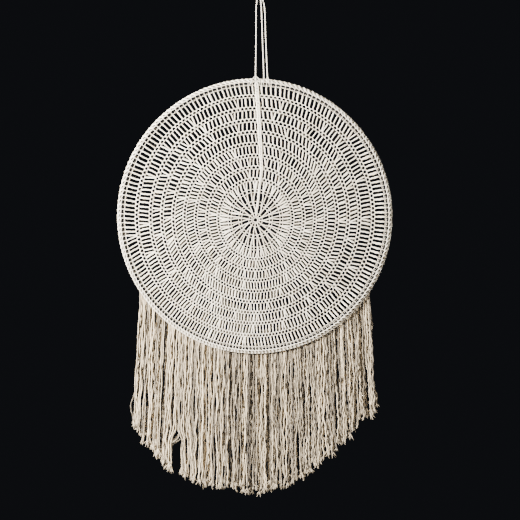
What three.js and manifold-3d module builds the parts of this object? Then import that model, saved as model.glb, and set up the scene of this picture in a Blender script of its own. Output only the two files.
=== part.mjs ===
// Crochet dream catcher: a wire hoop filled with a round crochet web, with a long cotton fringe knotted to
// its lower rim, hung by three cords that meet in a knot under a hanging eye.
// Millimetres, +Z up, the front faces -Y. The origin is inside the top of the eye, where it hangs on a nail.
import * as THREE from "three";
import { mergeVertices } from "three/addons/utils/BufferGeometryUtils.js";
import Module from "manifold-3d";

const wasm = await Module();
wasm.setup();

// Hoop and the crochet edging over it
const HOOP_DIAMETER = 487; // between the middles of the wire
const WIRE_DIAMETER = 6;
const EDGING_WALL = 2.7; // yarn over the wire
const EDGING_WRAPS = 48;
const WRAP_GROOVE = 0.6; // depth between two wraps

// Crochet web
const WEB_THICKNESS = 4;
const CENTRE_HOLE_DIAMETER = 10;
const CENTRE_RING_WIDTH = 6;
const WEB_ROUNDS = 11;
const ROUND_BAND = 6.5; // chain of loops between two rounds
const FIRST_ROUND_GAPS = 12;
const GAP_SHARE = 0.52; // of a stitch's width is open

// Hanger
const CORD_DIAMETER = 3;
const LEFT_HITCH_X = 1.3; // from the middle of the hoop
const HITCH_SPACING = 18.4;
const PAIR_SPACING = 6.4; // between the two cords of the right hitch
const HITCH_KNOT_WIDTH = 5.6;
const HITCH_KNOT_DEPTH = 5;
const HITCH_KNOT_HEIGHT = 5;
const KNOT_DIAMETER = 18;
const KNOT_OFFSET = 9; // the knot hangs right of the middle of the hoop
const HANGER_HEIGHT = 162; // rim to knot
const KNOT_TURNS = 3;
const KNOT_GROOVE = 1.4; // between its turns
const GATHER_HEIGHT = 27; // below the knot's middle the cords begin to draw together
const GATHER_LEFT_X = 2.9; // where each cord is at that height, from the middle of the hoop
const GATHER_INNER_X = 11.6;
const GATHER_OUTER_X = 17.1;
const EYE_WIDTH = 17;
const EYE_HEIGHT = 36;
const EYE_SHOULDER = 0.65; // share of its height at which it is widest
const LEFT_INTO_KNOT = [-0.3, 0, -0.95]; // where each cord enters the knot, seen from its middle
const INNER_INTO_KNOT = [0.1, -0.3, -0.95];
const OUTER_INTO_KNOT = [0.3, 0.25, -0.92];
const EYE_RIGHT_INTO_KNOT = [0.3, 0, 0.95];
const EYE_LEFT_INTO_KNOT = [-0.3, 0, 0.95];

// Fringe
const FRINGE_HALF_ANGLE = 60; // degrees to each side of the lowest point
const LOCK_COUNT = 20;
const LOCK_GAP = 1.5;
const STRAND_LENGTH = 262; // below the wire, in the middle
const STRAND_SLANT = 0.06; // how much shorter per millimetre to the right
const STRAND_WAVE = 6; // uneven trimming of the ends
const STRAND_LEAN = 3; // degrees outwards at the ends of the fringe
const STRAND_WIDTH = 3.6;
const STRAND_PITCH = 4;
const ROW_SPACING = 3.2; // front row to back row
const HEAD_WALL = 0.6; // of the folded head round its two rows
const HEAD_SKIRT = 1.2; // of the head below its axis
const HEAD_DROP = 1.5; // below the rim

// Facets
const WIRE_SIDES = 6;
const EDGING_SIDES = 8;
const BORE_SIDES = 5;
const CENTRE_HOLE_SIDES = 12;
const CORD_QUARTERS = 4; // half the sides of a round cord
const CORD_STEP = 3; // cord diameters
const HITCH_STEPS = 16;
const HITCH_SIDES = 6;
const HITCH_KNOT_SIDES = 10;
const KNOT_SIDES = 12;
const KNOT_STEPS = 4; // along one of its turns
const SADDLE_SIDES = 12;
const FOLD_SEGMENTS = 3;
const STRAND_SIDES = 4;

// Clearances
const SEAT_GAP = 0.3;
const WIRE_GAP = 0.8;
const HITCH_GAP = 0.7;
const KNOT_GAP = 0.5;

// Sizes that follow from those above
const hoopRadius = HOOP_DIAMETER / 2;
const wireRadius = WIRE_DIAMETER / 2;
const boreRadius = wireRadius + WIRE_GAP;
const edgingRadius = boreRadius + EDGING_WALL;
const rimRadius = hoopRadius + edgingRadius;
const cordRadius = CORD_DIAMETER / 2;
const hitchRadius = edgingRadius + HITCH_GAP + cordRadius;
const hitchMiddle = LEFT_HITCH_X + HITCH_SPACING / 2;
const knotRadius = KNOT_DIAMETER / 2;
const knotCentre = new THREE.Vector3(KNOT_OFFSET, 0, rimRadius + HANGER_HEIGHT);
const ringSteps = 2 * EDGING_WRAPS;

// Materials
const finish = (name, color, roughness, metalness) =>
  new THREE.MeshStandardMaterial({ name, color, roughness, metalness });
const cotton = (name, color) => finish(name, color, 0.95, 0);
const webCotton = cotton("web_cotton", 0xece6d8);
const fringeCotton = cotton("fringe_cotton", 0xd8cbb3);
const cordCotton = cotton("cord_cotton", 0xe4dac6);
const darkSteel = finish("dark_steel", 0x3a3a3c, 0.5, 1);

const ornament = new THREE.Group();

function addPiece(name, geometry, material) {
  const mesh = new THREE.Mesh(geometry, material);
  mesh.name = name;
  ornament.add(mesh);
}

// A closed geometry with its shared vertices merged, and the solid made from it
function closed(geometry) {
  geometry.deleteAttribute("normal");
  geometry.deleteAttribute("uv");
  return mergeVertices(geometry, 1e-4);
}

function solid(geometry) {
  const merged = closed(geometry);
  const vertProperties = new Float32Array(merged.attributes.position.array);
  const triVerts = new Uint32Array(merged.index.array);
  return new wasm.Manifold(new wasm.Mesh({ numProp: 3, vertProperties, triVerts }));
}

function geometryOf(body) {
  const mesh = body.getMesh();
  const geometry = new THREE.BufferGeometry();
  geometry.setAttribute("position", new THREE.BufferAttribute(new Float32Array(mesh.vertProperties), 3));
  geometry.setIndex(new THREE.BufferAttribute(new Uint32Array(mesh.triVerts), 1));
  return geometry;
}

function boxBetween(low, high) {
  const size = new THREE.Vector3().subVectors(high, low);
  const middle = new THREE.Vector3().addVectors(low, high).multiplyScalar(0.5);
  return new THREE.BoxGeometry(size.x, size.y, size.z).translate(middle.x, middle.y, middle.z);
}

// Height of a circle about the hoop's middle, above or below the middle, at a sideways distance
const heightAt = (radius, x) => Math.sqrt(radius * radius - x * x);

// A point on the rim's section, with the angle counted from the side that faces the hoop's middle
function sectionPoint(radius, angle) {
  return new THREE.Vector2(hoopRadius - radius * Math.cos(angle), -radius * Math.sin(angle));
}

function sectionArc(radius, from, to, steps) {
  const points = [];
  for (let i = 0; i <= steps; i += 1) {
    points.push(sectionPoint(radius, from + ((to - from) * i) / steps));
  }
  return points;
}

// A full ring of round section, concentric with the wire
function ringOf(radius, sides) {
  const profile = sectionArc(radius, 0, 2 * Math.PI, sides);
  profile[sides].copy(profile[0]);
  return new THREE.LatheGeometry(profile, ringSteps);
}

// Steel wire inside the rim
function hoopRing() {
  return new THREE.TorusGeometry(hoopRadius, wireRadius, WIRE_SIDES, ringSteps).rotateX(Math.PI / 2);
}

// Edging: a sleeve of yarn round the wire, grooved between its wraps and slit on the inside for the web
function rimEdging() {
  const slitHalf = WEB_THICKNESS / 2 + SEAT_GAP;
  const outerFrom = Math.asin(slitHalf / edgingRadius);
  const innerFrom = Math.asin(slitHalf / boreRadius);
  const outer = sectionArc(edgingRadius, outerFrom, 2 * Math.PI - outerFrom, EDGING_SIDES);
  const inner = sectionArc(boreRadius, 2 * Math.PI - innerFrom, innerFrom, BORE_SIDES);
  const profile = [...outer, ...inner, outer[0].clone()];
  const geometry = new THREE.LatheGeometry(profile, ringSteps);
  const position = geometry.attributes.position;
  const vertex = new THREE.Vector3();
  for (let ring = 1; ring < ringSteps; ring += 2) {
    const turn = (ring / ringSteps) * 2 * Math.PI;
    const middle = new THREE.Vector3(Math.sin(turn), 0, Math.cos(turn)).multiplyScalar(hoopRadius);
    for (let i = 1; i < outer.length - 1; i += 1) {
      const index = ring * profile.length + i;
      vertex.fromBufferAttribute(position, index);
      vertex.sub(middle).setLength(edgingRadius - WRAP_GROOVE).add(middle);
      position.setXYZ(index, vertex.x, vertex.y, vertex.z);
    }
  }
  return closed(geometry);
}

// Web: a flat net whose long gaps lie between the posts of each round of tall stitches
function crochetWeb() {
  const edgeRadius = hoopRadius - wireRadius - WIRE_GAP;
  const firstGap = CENTRE_HOLE_DIAMETER / 2 + CENTRE_RING_WIDTH;
  const lastGap = hoopRadius - hitchRadius + cordRadius + HITCH_GAP;
  const pitch = (lastGap - firstGap + ROUND_BAND) / WEB_ROUNDS;
  const hitchHalf = (HITCH_SPACING + CORD_DIAMETER) / 2 + HITCH_GAP;
  const hitchAngle = Math.asin(hitchHalf / (hoopRadius - hitchRadius - cordRadius));
  const lastRoundGaps = Math.floor((GAP_SHARE * Math.PI) / hitchAngle);
  const net = new THREE.Shape();
  net.absarc(0, 0, edgeRadius, 0, 2 * Math.PI);
  const centre = new THREE.Path();
  centre.absellipse(0, 0, CENTRE_HOLE_DIAMETER / 2, CENTRE_HOLE_DIAMETER / 2, 0, 2 * Math.PI, true);
  net.holes.push(new THREE.Path(centre.getPoints(CENTRE_HOLE_SIDES)));
  const top = Math.PI / 2 - Math.asin(hitchMiddle / hoopRadius);
  for (let round = 0; round < WEB_ROUNDS; round += 1) {
    const share = round / (WEB_ROUNDS - 1);
    const gaps = Math.round(FIRST_ROUND_GAPS + (lastRoundGaps - FIRST_ROUND_GAPS) * share);
    const inside = firstGap + round * pitch;
    const outside = inside + pitch - ROUND_BAND;
    const half = (GAP_SHARE * Math.PI) / gaps;
    for (let gap = 0; gap < gaps; gap += 1) {
      const middle = top + (2 * Math.PI * gap) / gaps;
      const corners = [
        [inside, middle - half],
        [inside, middle + half],
        [outside, middle + half],
        [outside, middle - half],
      ];
      const outline = corners.map(([r, a]) => new THREE.Vector2(r * Math.cos(a), r * Math.sin(a)));
      net.holes.push(new THREE.Path(outline));
    }
  }
  const options = { depth: WEB_THICKNESS, bevelEnabled: false, curveSegments: EDGING_WRAPS };
  const plate = new THREE.ExtrudeGeometry(net, options).translate(0, 0, -WEB_THICKNESS / 2);
  return closed(plate.rotateX(Math.PI / 2));
}

// A round cord along points
function cordAlong(points) {
  const path = new THREE.CatmullRomCurve3(points);
  const section = new THREE.Shape();
  section.absarc(0, 0, cordRadius, 0, 2 * Math.PI);
  const steps = Math.ceil(path.getLength() / (CORD_STEP * CORD_DIAMETER));
  const options = { steps, extrudePath: path, bevelEnabled: false, curveSegments: CORD_QUARTERS };
  return closed(new THREE.ExtrudeGeometry(section, options));
}

// Hitch: a turn of cord round the rim, closed by a small knot on top
function hitch(x, knotWidth) {
  const turn = new THREE.TorusGeometry(hitchRadius, cordRadius, HITCH_SIDES, HITCH_STEPS);
  turn.rotateY(Math.PI / 2);
  const knot = new THREE.SphereGeometry(0.5, HITCH_KNOT_SIDES, HITCH_SIDES).rotateX(Math.PI / 2);
  knot.scale(knotWidth, HITCH_KNOT_DEPTH, HITCH_KNOT_HEIGHT).translate(0, 0, hitchRadius + cordRadius);
  const body = solid(turn).add(solid(knot));
  return geometryOf(body).translate(x, 0, heightAt(hoopRadius, x));
}

// The last two points of a cord that goes into the knot from a direction, square to the knot's round face
function intoKnot(direction) {
  const outwards = new THREE.Vector3(...direction).normalize();
  const along = (distance) => knotCentre.clone().addScaledVector(outwards, distance);
  return [along(knotRadius + 2 * CORD_DIAMETER), along(knotRadius + SEAT_GAP)];
}

// A hanger cord runs straight up from its hitch, then draws in to the knot
function hangerCord(x, hitchX, gatherX, direction) {
  const hitchTop = heightAt(hoopRadius, hitchX) + hitchRadius + cordRadius + HITCH_KNOT_HEIGHT / 2;
  const start = new THREE.Vector3(x, 0, hitchTop + SEAT_GAP);
  const gather = new THREE.Vector3(gatherX, 0, knotCentre.z - GATHER_HEIGHT);
  return cordAlong([start, start.clone().lerp(gather, 0.5), gather, ...intoKnot(direction)]);
}

// Knot: a ball of a few turns of cord, grooved between them
function hangerKnot() {
  const profile = [];
  const steps = KNOT_STEPS * KNOT_TURNS;
  for (let i = 0; i <= steps; i += 1) {
    const angle = -Math.PI / 2 + (Math.PI * i) / steps;
    const radius = knotRadius - KNOT_GROOVE * (i % KNOT_STEPS === 0 ? 1 : 0);
    profile.push(new THREE.Vector2(radius * Math.cos(angle), radius * Math.sin(angle)));
  }
  profile[0].x = 0;
  profile[steps].x = 0;
  const ball = new THREE.LatheGeometry(profile, KNOT_SIDES).rotateX(Math.PI / 2);
  return closed(ball.translate(knotCentre.x, knotCentre.y, knotCentre.z));
}

// Eye: the cord's bight above the knot
function hangerEye() {
  const side = EYE_WIDTH / 2;
  const sideHeight = EYE_HEIGHT * EYE_SHOULDER;
  const at = (x, z) => new THREE.Vector3(x, 0, z).add(knotCentre);
  const right = intoKnot(EYE_RIGHT_INTO_KNOT).reverse();
  const left = intoKnot(EYE_LEFT_INTO_KNOT);
  return cordAlong([...right, at(side, sideHeight), at(0, EYE_HEIGHT), at(-side, sideHeight), ...left]);
}

const locks = [];
const lockStep = (2 * FRINGE_HALF_ANGLE) / LOCK_COUNT;
const headRadius = ROW_SPACING / 2 + STRAND_WIDTH / 2 + HEAD_WALL;
const neckFront = WEB_THICKNESS / 2 + KNOT_GAP;
const neckBack = edgingRadius + KNOT_GAP + STRAND_WIDTH;
const fringeY = (neckFront + neckBack) / 2;
const sideways = (degrees) => hoopRadius * Math.sin(THREE.MathUtils.degToRad(degrees));
for (let i = 0; i < LOCK_COUNT; i += 1) {
  const left = sideways(-FRINGE_HALF_ANGLE + i * lockStep) + LOCK_GAP / 2;
  const right = sideways(-FRINGE_HALF_ANGLE + (i + 1) * lockStep) - LOCK_GAP / 2;
  const nearest = Math.min(Math.abs(left), Math.abs(right));
  const farthest = Math.max(Math.abs(left), Math.abs(right));
  const axisZ = -heightAt(rimRadius, nearest) - HEAD_DROP - headRadius;
  locks.push({ number: String(i + 1).padStart(2, "0"), left, right, farthest, axisZ });
}

// Knots of one lock: strands turned over the back of the rim, with their folds hanging behind it
const rimClearance = solid(ringOf(edgingRadius + KNOT_GAP, SADDLE_SIDES));
const rimCover = solid(ringOf(neckBack, SADDLE_SIDES));
const insideHoop = solid(new THREE.CylinderGeometry(hoopRadius, hoopRadius, 4 * neckBack, ringSteps));

function fringeKnot(lock) {
  const neckBottom = lock.axisZ + headRadius + SEAT_GAP;
  const neckTop = -heightAt(hoopRadius, lock.farthest);
  const low = new THREE.Vector3(lock.left, neckFront, neckBottom);
  const neckBox = boxBetween(low, new THREE.Vector3(lock.right, neckBack, neckTop));
  const neck = solid(neckBox).subtract(insideHoop);
  const slab = solid(boxBetween(low, new THREE.Vector3(lock.right, 2 * neckBack, neckTop + 2 * neckBack)));
  return geometryOf(neck.add(rimCover.intersect(slab)).subtract(rimClearance));
}

// Head of a lock: the strands' fold, round on top and flat where the strands leave it
function foldedHead(width) {
  const section = new THREE.Shape();
  section.absarc(0, 0, headRadius, Math.PI / 2, 1.5 * Math.PI);
  section.lineTo(HEAD_SKIRT, -headRadius);
  section.lineTo(HEAD_SKIRT, headRadius);
  section.closePath();
  const options = { depth: width, bevelEnabled: false, curveSegments: FOLD_SEGMENTS };
  return new THREE.ExtrudeGeometry(section, options).rotateY(Math.PI / 2);
}

// Free strands of one lock, in a front and a back row, fused to their folded head
function fringeLock(lock) {
  const width = lock.right - lock.left;
  const middle = (lock.left + lock.right) / 2;
  let body = solid(foldedHead(width).translate(lock.left, fringeY, lock.axisZ));
  const inRow = Math.max(1, Math.floor((width - STRAND_WIDTH) / STRAND_PITCH) + 1);
  for (const row of [-0.5, 0.5]) {
    for (let i = 0; i < inRow; i += 1) {
      const x = middle + (i - (inRow - 1) / 2) * STRAND_PITCH;
      const trim = STRAND_SLANT * x + STRAND_WAVE * Math.sin(x + 2 * row);
      const end = -heightAt(hoopRadius, x) - STRAND_LENGTH + trim;
      const lean = THREE.MathUtils.degToRad((STRAND_LEAN * x) / sideways(FRINGE_HALF_ANGLE));
      const length = (lock.axisZ - end) / Math.cos(lean);
      const strand = new THREE.CylinderGeometry(STRAND_WIDTH / 2, STRAND_WIDTH / 2, length, STRAND_SIDES);
      strand.rotateX(Math.PI / 2).translate(0, 0, -length / 2).rotateY(-lean);
      body = body.add(solid(strand.translate(x, fringeY + row * ROW_SPACING, lock.axisZ)));
    }
  }
  return geometryOf(body);
}

addPiece("hoop_ring", closed(hoopRing()), darkSteel);
addPiece("rim_edging", rimEdging(), webCotton);
addPiece("crochet_web", crochetWeb(), webCotton);
const rightHitchX = LEFT_HITCH_X + HITCH_SPACING;
addPiece("hitch_left", hitch(LEFT_HITCH_X, HITCH_KNOT_WIDTH), cordCotton);
addPiece("hitch_right", hitch(rightHitchX, PAIR_SPACING + CORD_DIAMETER), cordCotton);
const innerX = rightHitchX - PAIR_SPACING / 2;
const outerX = rightHitchX + PAIR_SPACING / 2;
addPiece("cord_left", hangerCord(LEFT_HITCH_X, LEFT_HITCH_X, GATHER_LEFT_X, LEFT_INTO_KNOT), cordCotton);
addPiece("cord_inner", hangerCord(innerX, rightHitchX, GATHER_INNER_X, INNER_INTO_KNOT), cordCotton);
addPiece("cord_outer", hangerCord(outerX, rightHitchX, GATHER_OUTER_X, OUTER_INTO_KNOT), cordCotton);
addPiece("hanger_knot", hangerKnot(), cordCotton);
addPiece("hanger_eye", hangerEye(), cordCotton);
for (const lock of locks) {
  addPiece(`fringe_knot_${lock.number}`, fringeKnot(lock), fringeCotton);
  addPiece(`fringe_lock_${lock.number}`, fringeLock(lock), fringeCotton);
}

// The eye hangs on its nail at the origin
ornament.position.set(-knotCentre.x, 0, -(knotCentre.z + EYE_HEIGHT - cordRadius));
const dreamCatcher = new THREE.Group();
dreamCatcher.add(ornament);

export default dreamCatcher;
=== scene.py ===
# Crochet dream catcher: the cotton yarn of its web, rim, fringe and hanger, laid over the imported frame.
import math

import bpy
import numpy as np
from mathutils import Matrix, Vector


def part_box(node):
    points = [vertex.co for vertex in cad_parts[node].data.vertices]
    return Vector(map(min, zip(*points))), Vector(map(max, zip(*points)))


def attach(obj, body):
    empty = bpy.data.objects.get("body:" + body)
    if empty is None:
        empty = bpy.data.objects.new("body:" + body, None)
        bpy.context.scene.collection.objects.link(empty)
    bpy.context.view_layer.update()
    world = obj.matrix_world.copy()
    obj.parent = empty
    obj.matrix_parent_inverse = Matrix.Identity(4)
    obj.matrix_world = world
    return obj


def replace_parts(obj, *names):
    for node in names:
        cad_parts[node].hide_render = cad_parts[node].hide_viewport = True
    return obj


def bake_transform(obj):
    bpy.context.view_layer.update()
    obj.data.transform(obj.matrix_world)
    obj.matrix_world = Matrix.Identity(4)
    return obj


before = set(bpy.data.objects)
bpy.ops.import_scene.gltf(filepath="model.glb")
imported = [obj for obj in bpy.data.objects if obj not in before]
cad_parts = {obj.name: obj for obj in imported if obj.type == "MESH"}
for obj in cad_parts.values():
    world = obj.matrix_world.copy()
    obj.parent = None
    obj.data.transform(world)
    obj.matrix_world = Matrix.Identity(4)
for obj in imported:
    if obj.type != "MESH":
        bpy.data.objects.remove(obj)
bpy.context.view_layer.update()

# Lengths are in millimetres about the middle of the hoop, with x to the right, y to the back and z up.
MM = 0.001
ring_low, ring_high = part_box("hoop_ring")
rim_low, rim_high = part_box("rim_edging")
HOOP_CENTRE = (ring_low + ring_high) / 2
WIRE_RADIUS = 3.0
HOOP_RADIUS = (ring_high.x - ring_low.x) / 2 / MM - WIRE_RADIUS
RIM_RADIUS = (rim_high.x - rim_low.x) / 2 / MM
EDGING_RADIUS = RIM_RADIUS - HOOP_RADIUS
LOCKS = 20

# Photograph: its frame of 520 pixels, and where the middle of the hoop stands in it
PIXEL = 1.825
PHOTO_SIDE = 520
HOOP_PIXEL = (254.9, 216.2)
LENS = 85.0
SENSOR = 36.0

# Random seeds, one or a series for each kind of piece
RIM_SEED = 80
CENTRE_SEED = 90
SEAM_SEED = 91
PLACE_SEED = 100
ROUND_SEED = 120
LOCK_SEED = 200
TIE_SEED = 300
BUNDLE_SEED = 400

# Yarn: sides of its tubes, length of a twist, and how it lies in its maps
YARN_SIDES = 6
PLY_PITCH = 21.0
MAP_ASPECT = 4
MAP_MARGIN = 0.04
YARN_OFFSET = 7.3

# Two-ply cord, in shares of its diameter
CORD_PLIES = 2
PLY_OFFSET = 0.19
PLY_TURN = 2.6
PLY_RADIUS = 0.21
CORD_STEP = 1.1

# Cotton: twist and fibres, by millimetres along the yarn and turns round it, and what they add to colour and bump:
# the twist adds painted shade in the grooves between the plies, fibres and drift add tone
TWIST_ALONG = 0.42
TWIST_ROUND = 3.0
FIBRE_ALONG = 0.55
FIBRE_ROUND = 7.0
# Painted shade: how far the grooves between the plies are darkened in the colour
GROOVE_SHADE = 0.22
FIBRE_SHADE = 0.3
DRIFT_SHADE = 0.35
FIBRE_BUMP = 0.6
BUMP_DEPTH = 0.35

# How the web hangs on the wire: low in the middle, taller than wide, and with its edge over the front of the wire
PATTERN_X = 1.1
PATTERN_RADII = (40.0, 205.0, 241.0)
PATTERN_Z = (-6.8, 1.2, 0.0)
STRETCH = 2.6
STRETCH_FROM = (10.0, 50.0)
STRETCH_TO = (195.0, 241.0)
RIM_LIFT = 5.0
LIFT_FROM = (222.0, 239.0)

# Rounds of the web, and where their rows stand
ROUND_STITCHES = (23, 46, 76, 86, 116, 127, 133, 152, 172, 191, 194)
LAST_ROUND = len(ROUND_STITCHES) - 1
PAIRED_ROUNDS = 2
PAIR_OPENING = 0.95
CENTRE_ROW = 9.7
FIRST_ROW = 29.5
ROW_STEP = 20.5
TALL_FROM = 8
TALL_STEP = 3.3

# Places of the stitches along their rounds
SHARE_ROOM = 0.26
SHARE_SPREAD = 0.3
TOP_RELAX = 600
TOP_SPREAD = 0.04
SPREAD_TOWARDS = math.radians(92)
SPREAD_START = (20.0, 60.0)
SPREAD_FROM = (90.0, 190.0)
SPREAD_INNER = 0.1
SPREAD_OUTER = 0.14
TWICE_TOWARDS = math.radians(151)
TWICE_OUTER = 0.056

# Open share of each stitch's width, by round and by direction
OPEN_SHARE = (0.70, 0.68, 0.47, 0.585, 0.595, 0.595, 0.605, 0.62, 0.62, 0.62, 0.63)
OPEN_LIMITS = (0.02, 0.76)
OPEN_LEAN = (0.01, 0.05)
OPEN_TOWARDS = math.radians(105)
OPEN_TWICE = 0.3
OPEN_LUMP = 0.008
OPEN_LUMP_TURNS = range(2, 7)
OPEN_LUMP_PHASE = 6.3
OPEN_SPREAD = 0.03
CLOSED_SHARE = 0.05
CLOSED_BY = 0.2

# Tall stitches: two legs and a third yarn wound together, and their fold under the chain below
POST_RINGS = 8
POST_LIFT = 1.0
POST_WIDTH = (1.8, 6.0)
POST_FULLNESS = 4.1
POST_SPREAD = 1.155
POST_BOW = 0.25
POST_DEPTH = 0.25
POST_START = 0.3
POST_TWIST = 0.8
POST_FOOT = 0.4
POST_FOOT_TO = 0.22
POST_HEAD = 0.55
POST_HEAD_FROM = 0.82
POST_WRAP = 0.3
POST_WRAP_AT = 0.58
POST_WRAP_SPAN = 0.13
FOLD_SHARE = 0.058
FOLD_LIMITS = (0.2, 0.9)
FOLD_GAP = 0.1
FOLD_TOP = 0.3
FOLD_TURN = 0.9
FOLD_UNDER = 0.5
FOOT_SHARE = 0.47

# Chains that close the rounds
CHAIN_HALF = 3.05
FIRST_HALF = 2.75
FIRST_CHAINS = 2
LAST_HALF = 3.6
CHAIN_RADIUS = 0.47
FINE_CHAIN_RADIUS = 0.45
FINE_CHAINS = (0, 1, 2, LAST_ROUND)
OVER_FROM = 2
OVER_TO = 9
CHAIN_RINGS = 12
CHAIN_OVERLAP = 0.3
CHAIN_HEIGHTS = 0.08
CHAIN_BULGE = (0.8, 0.6)
CHAIN_FRONT = 0.3
CHAIN_TILT = 0.75
CHAIN_DEPTHS = 0.15

# Centre ring
CENTRE_LINKS = 12
CENTRE_HALF = 2.7
CENTRE_YARN = 0.42
CENTRE_SHARE_ROOM = 0.12
CENTRE_CIRCLES = (3.9, 5.0)
CENTRE_RINGS = 28
CENTRE_WAVES = 3
CENTRE_WAVE = 0.25
CENTRE_DEPTH = 0.4
CENTRE_TONE = 0.4

# Seam of starting chains up the middle
SEAM_AT_RIM = 2.7
SEAM_DRIFT = 0.054
SEAM_LEAN = 0.13
SEAM_LINKS = 4
SEAM_RINGS = 14
SEAM_WIDEN = (40.0, 170.0)
SEAM_HALF = (1.3, 2.7)
SEAM_YARN = (0.8, 1.15)
SEAM_OVERLAP = 1.5
SEAM_TAPER = 0.2
SEAM_SPREAD = 0.25
SEAM_FRONT = 1.2
SEAM_TILT = 0.9
SEAM_TONES = (0.0, 0.5)

# Rim: sections are degrees round the wire, from the side that faces the middle and over the front
LEG_RADIUS = (0.62, 1.25)
LEG_INSET = 0.2
LEG_SPACING = 1.45
LEG_SPREAD = (150.0, 220.0)
LEG_SLANT = 12.0
LEG_SECTION = (104.0, 304.0)
LEG_STEPS = 14
LEG_TOOTH = 1.7
LEG_TOOTH_AT = 168.0
LEG_TOOTH_SPAN = 26.0
LEG_ALONG = 0.2
LEG_REACH = 0.12
EDGE_SECTION = 128.0
EDGE_RADIUS = 0.66
EDGE_HALF = 0.5
EDGE_TILT = 0.3
EDGE_OVERLAP = 0.7
EDGE_RINGS = 16
EDGE_INSET = 0.1
EDGE_LIFT = 0.5
EDGE_TONES = (0.0, 0.6)

# Strands of the fringe, and where they are cut
STRAND_SPACING = 1.6
STRAND_ROOM = 1.5
STRAND_SPREAD = 0.6
STRAND_RADIUS = 1.06
STRAND_RADII = (0.8, 1.15)
STRAND_TONES = (-0.15, 1.1)
STRAND_RINGS = 94
STRAND_SIDES = 5
STRAND_PLY = 0.22
STRAND_FROM = 0.02
STRAND_LENGTH = 251.0
STRAND_SLANT = 0.065
STRAND_LEAN = 3.0
STRAND_ENDS = 4.5
FRINGE_HALF_WIDTH = 210.9
EDGE_TRIM = 18.0
RIGHT_TRIM = 20.0
RIGHT_FROM = (70.0, 125.0)
CORNER_TRIM = -17.0
CORNER_FROM = (190.0, 200.0)
LOCK_STEP = 0.35
LOCK_ENDS = 1.5

# How the strands hang: from the back of the rim, in two layers and in pairs, then in bundles, with waves
HOOK_GAP = 0.3
HOOK_ANGLES = (70, 80, 90)
LAYERS = (2.2, 7.6)
LAYER_SWAPS = 0.15
LAYER_SPREAD = 0.5
LAYER_FROM = (0.0, 11.0)
PAIR_PULL = 0.8
PAIR_PART = (6.0, 22.0)
GATHER = (-0.04, 0.06)
GATHER_SPREAD = 3.0
BUNDLE = 7
BUNDLE_PULL = (0.1, 0.6)
BUNDLE_SPREAD = 0.8
BUNDLE_FROM = 0.55
BUNDLE_EDGE = (0.6, 1.0)
FINE_WAVES = ((0.15, 0.55), (12, 26))
SWAY_WAVES = ((0.4, 1.4), (45, 95))
BROAD_WAVES = ((0.5, 3.6), (150, 320))
SWING_WAVES = ((0.2, 0.8), (18, 36))
SWING_BROAD_WAVES = ((0.3, 1.2), (60, 140))
WAVES_FROM = (0.0, 30.0)
WAVY_RIGHT = 1.1
WAVY_FROM = (-80.0, 100.0)
WAVY_BELOW = (0.2, 0.7)

# Notch in the fringe, the strands swept across it, and the strand that bows out at the left
NOTCH_X = -137.0
NOTCH_HALF = 9.5
NOTCH_REACH = 13.0
NOTCH_FROM = -386.0
NOTCH_TO = -410.0
NOTCH_LOCK = 5
SWEPT_FROM = -402.0
SWEPT_STEPS = (0.0, 5.0, 15.0)
SWEPT_DROPS = (24.0, 30.0, 38.0)
SWEPT_ASIDE = 27.0
SWEPT_BEHIND = 3.5
SWEPT_TRIM = 22.0
BOW_LOCK = 1
BOW_AT = -346.0
BOW_SPAN = 20.0
BOW_OUT = 9.0

# Frayed ends
TUFT_HAIRS = 8
TUFT_FLARED = 0.4
TUFT_FLARE = (0.2, 0.6)
TUFT_SPREAD = 0.3
TUFT_SHAPE = (1.0, 0.7, 0.3)
TUFT_SHORT = 0.35
TUFT_LENGTH = (6.0, 12.5)
TUFT_CURL = 0.12
TUFT_RADII = (0.75, 0.7, 0.55, 0.35)
TUFT_SIDES = 4
TUFT_TONE = 0.3

# Cow hitches that tie the strands, seen from the back
TIE_SPACING = 3.6
TIE_RINGS = 14
TIE_SECTION = -110.0
TIE_SPREAD = 0.06
TIE_TALL = 0.5
TIE_LIFT = 2.6
TIE_WAVE = 0.4
TIE_HALF = 2.2
TIE_RADIUS = 1.15
TIE_TONES = (0.2, 1.0)

# Hitches of the hanger on the rim: by name, their place, and for each loop its place, its two spreads and its foot
HITCHES = (
    ("left", 1.3, ((0, 8.0, 8.0, 0.8), (0, -8.0, -8.0, -0.8), (0, 1.0, -1.0, 0.8))),
    ("right", 19.7, ((-3.2, -1.4, 1.4, -0.8), (3.2, 2.6, -1.8, 0.8))),
)
HITCH_KNOT_HEIGHT = 5.0
HITCH_GAP = 0.7
HITCH_CORD = 2.2
HITCH_TONE = 0.3
HITCH_RINGS = 72
HITCH_REST = 0.4
HITCH_ROOMS = 0.9

# The same hitches, in degrees from the top of the wire
HITCH_FALL = 22
HITCH_SPREAD = 30
HITCH_SINK = 2.8
HITCH_SINK_AT = (70, 130)
HITCH_UNDER_AT = (80, 140)
HITCH_CLOSE_AT = (110, 180)

# Cords of the hanger: by name, their hitch, their place on it and below the knot, and where they go into the knot
CORD_DIAMETER = 3.0
CORD_TONE = 0.4
CORDS = (
    ("left", "left", 1.3, 2.9, (-0.3, 0.0, -0.95)),
    ("inner", "right", 16.5, 11.6, (0.1, -0.3, -0.95)),
    ("outer", "right", 22.9, 17.1, (0.3, 0.25, -0.92)),
)
CORD_GAP = 0.3
CORDS_MEET = 27.0
KNOT_CENTRE = (9.0, 0.0, 412.0)
KNOT_RADIUS = 9.0
KNOT_CORDS = (((6.9, 6.4, 6.9), 0.3), ((5.2, 5.0, 5.2), 0.5))
KNOT_STEPS = 160
EYE_HEIGHT = 36.0
EYE_SIDE = 8.5
EYE_WIDEST = 0.65
EYE_FOOT = (0.3, 0.95)

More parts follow.
